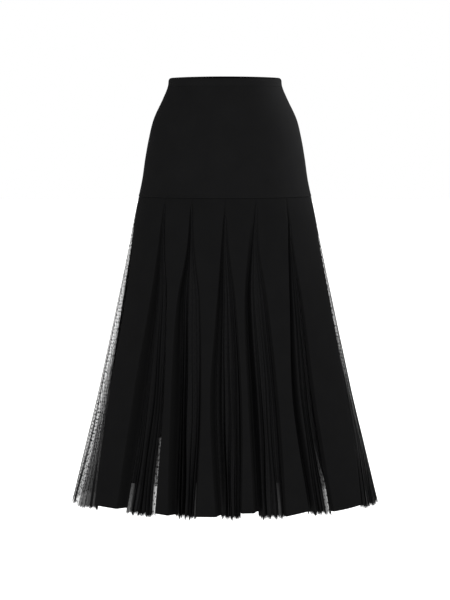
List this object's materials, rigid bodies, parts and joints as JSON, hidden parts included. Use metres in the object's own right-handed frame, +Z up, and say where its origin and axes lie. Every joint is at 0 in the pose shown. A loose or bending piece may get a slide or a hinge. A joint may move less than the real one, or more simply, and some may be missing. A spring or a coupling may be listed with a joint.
{
  "type": "jersey skirt",
  "caption": "Pull-on black jersey midi skirt with a smooth hip yoke and straight panels over pleated dotted tulle godets, lined, in its worn hollow form.",
  "frame": {"origin": "middle of the waist opening at its top edge, where the wearer's waist holds the skirt", "axes": "+Z up out of the waist, -Y towards the front, +X towards the wearer's left side"},
  "size_m": [0.6491, 0.4547, 0.902],
  "materials": {
    "waistband": "matte black jersey folded over elastic",
    "jersey": "matte black fine-gauge jersey with a soft sheen",
    "tulle": "sheer black net with small woven dots",
    "lining": "smooth plain black knit lining"
  },
  "bodies": {
    "root": {"waistband": "waistband", "yoke_front": "jersey", "yoke_back": "jersey", "front_panel_1": "jersey", "front_panel_2": "jersey", "front_panel_3": "jersey", "front_panel_4": "jersey", "front_panel_5": "jersey", "front_panel_6": "jersey", "back_panel_1": "jersey", "back_panel_2": "jersey", "back_panel_3": "jersey", "back_panel_4": "jersey", "back_panel_5": "jersey", "back_panel_6": "jersey", "side_godet_left": "tulle", "front_godet_1": "tulle", "front_godet_2": "tulle", "front_godet_3": "tulle", "front_godet_4": "tulle", "front_godet_5": "tulle", "side_godet_right": "tulle", "back_godet_1": "tulle", "back_godet_2": "tulle", "back_godet_3": "tulle", "back_godet_4": "tulle", "back_godet_5": "tulle", "lining": "lining"}
  },
  "joints": []
}
